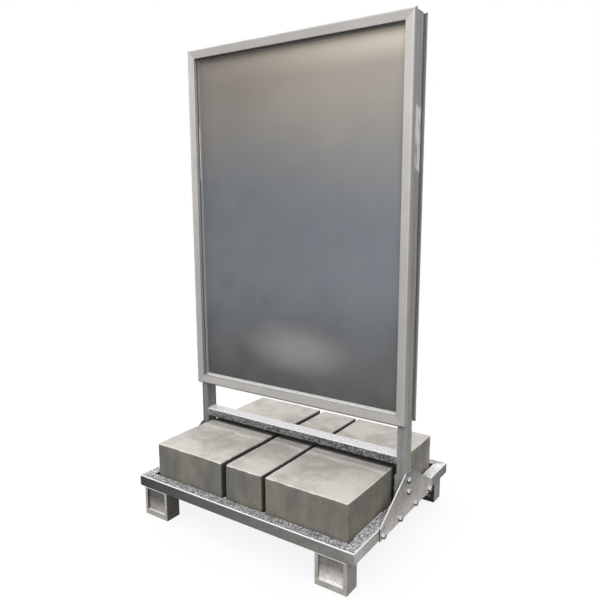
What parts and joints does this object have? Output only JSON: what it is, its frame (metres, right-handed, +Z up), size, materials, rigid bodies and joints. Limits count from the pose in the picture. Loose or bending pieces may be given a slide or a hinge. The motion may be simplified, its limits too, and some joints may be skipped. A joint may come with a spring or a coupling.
{
  "type": "pavement poster stand",
  "caption": "Free-standing double-sided poster panel with hinged snap-frame sides, on two posts bolted to a square-tube tray on four thick feet, weighted with loose concrete blocks.",
  "frame": {"origin": "on the ground, under the middle of the ballast tray", "axes": "+X to the right as seen from the front, -Y towards the front viewer, +Z up"},
  "size_m": [0.9028, 0.708, 1.6495],
  "materials": {
    "galvanised_tube": "hot-dip galvanised, faint spangle",
    "galvanised_plate": "hot-dip galvanised plate, satin",
    "zinc_fastener": "zinc-plated, bright",
    "anodised_aluminium": "satin silver anodised",
    "concrete": "cast concrete, matte, weathered",
    "display_face": "satin grey coated sheet",
    "board_core": "multiwall plastic sheet, dark",
    "clear_sheet": "clear, gloss",
    "black_plastic": "moulded, matte",
    "spring_steel": "bare, satin"
  },
  "bodies": {
    "stand": {"block_bearers": "galvanised_tube", "bolt_washers": "zinc_fastener", "bottom_tube": "galvanised_tube", "corner_keys": "spring_steel", "crossbar": "galvanised_tube", "display_core": "board_core", "foot_webs": "galvanised_plate", "frame_screws": "zinc_fastener", "front_beads": "anodised_aluminium", "front_bottom_base": "anodised_aluminium", "front_clear_sheet": "clear_sheet", "front_display_sheet": "display_face", "front_left_base": "anodised_aluminium", "front_left_block": "concrete", "front_left_foot": "galvanised_tube", "front_middle_block": "concrete", "front_rail": "galvanised_tube", "front_right_base": "anodised_aluminium", "front_right_block": "concrete", "front_right_foot": "galvanised_tube", "front_top_base": "anodised_aluminium", "left_gusset": "galvanised_plate", "left_post": "galvanised_tube", "left_rail": "galvanised_tube", "left_socket": "galvanised_plate", "lower_bolts": "zinc_fastener", "post_caps": "black_plastic", "rear_beads": "anodised_aluminium", "rear_bottom_base": "anodised_aluminium", "rear_clear_sheet": "clear_sheet", "rear_display_sheet": "display_face", "rear_left_base": "anodised_aluminium", "rear_left_block": "concrete", "rear_left_foot": "galvanised_tube", "rear_middle_block": "concrete", "rear_rail": "galvanised_tube", "rear_right_base": "anodised_aluminium", "rear_right_block": "concrete", "rear_right_foot": "galvanised_tube", "rear_top_base": "anodised_aluminium", "right_gusset": "galvanised_plate", "right_post": "galvanised_tube", "right_rail": "galvanised_tube", "right_socket": "galvanised_plate", "spring_clips": "spring_steel", "top_tube": "galvanised_tube", "upper_bolts": "zinc_fastener", "upper_nuts": "zinc_fastener", "weld_nuts": "zinc_fastener"},
    "front_bottom_cover": {"front_bottom_cover": "anodised_aluminium"},
    "front_left_cover": {"front_left_cover": "anodised_aluminium"},
    "front_right_cover": {"front_right_cover": "anodised_aluminium"},
    "front_top_cover": {"front_top_cover": "anodised_aluminium"},
    "rear_bottom_cover": {"rear_bottom_cover": "anodised_aluminium"},
    "rear_left_cover": {"rear_left_cover": "anodised_aluminium"},
    "rear_right_cover": {"rear_right_cover": "anodised_aluminium"},
    "rear_top_cover": {"rear_top_cover": "anodised_aluminium"}
  },
  "joints": [
    {"name": "front_bottom_hinge", "type": "hinge", "parent": "stand", "child": "front_bottom_cover", "pos_m": [0, -0.03, 0.4107], "axis": [1, 0, 0], "range_deg": [0, 95]},
    {"name": "front_top_hinge", "type": "hinge", "parent": "stand", "child": "front_top_cover", "pos_m": [0, -0.03, 1.6453], "axis": [-1, 0, 0], "range_deg": [0, 95]},
    {"name": "front_left_hinge", "type": "hinge", "parent": "stand", "child": "front_left_cover", "pos_m": [-0.4408, -0.03, 1.028], "axis": [0, 0, -1], "range_deg": [0, 95]},
    {"name": "front_right_hinge", "type": "hinge", "parent": "stand", "child": "front_right_cover", "pos_m": [0.4408, -0.03, 1.028], "axis": [0, 0, 1], "range_deg": [0, 95]},
    {"name": "rear_bottom_hinge", "type": "hinge", "parent": "stand", "child": "rear_bottom_cover", "pos_m": [0, 0.03, 0.4107], "axis": [-1, 0, 0], "range_deg": [0, 95]},
    {"name": "rear_top_hinge", "type": "hinge", "parent": "stand", "child": "rear_top_cover", "pos_m": [0, 0.03, 1.6453], "axis": [1, 0, 0], "range_deg": [0, 95]},
    {"name": "rear_left_hinge", "type": "hinge", "parent": "stand", "child": "rear_left_cover", "pos_m": [-0.4408, 0.03, 1.028], "axis": [0, 0, 1], "range_deg": [0, 95]},
    {"name": "rear_right_hinge", "type": "hinge", "parent": "stand", "child": "rear_right_cover", "pos_m": [0.4408, 0.03, 1.028], "axis": [0, 0, -1], "range_deg": [0, 95]}
  ]
}
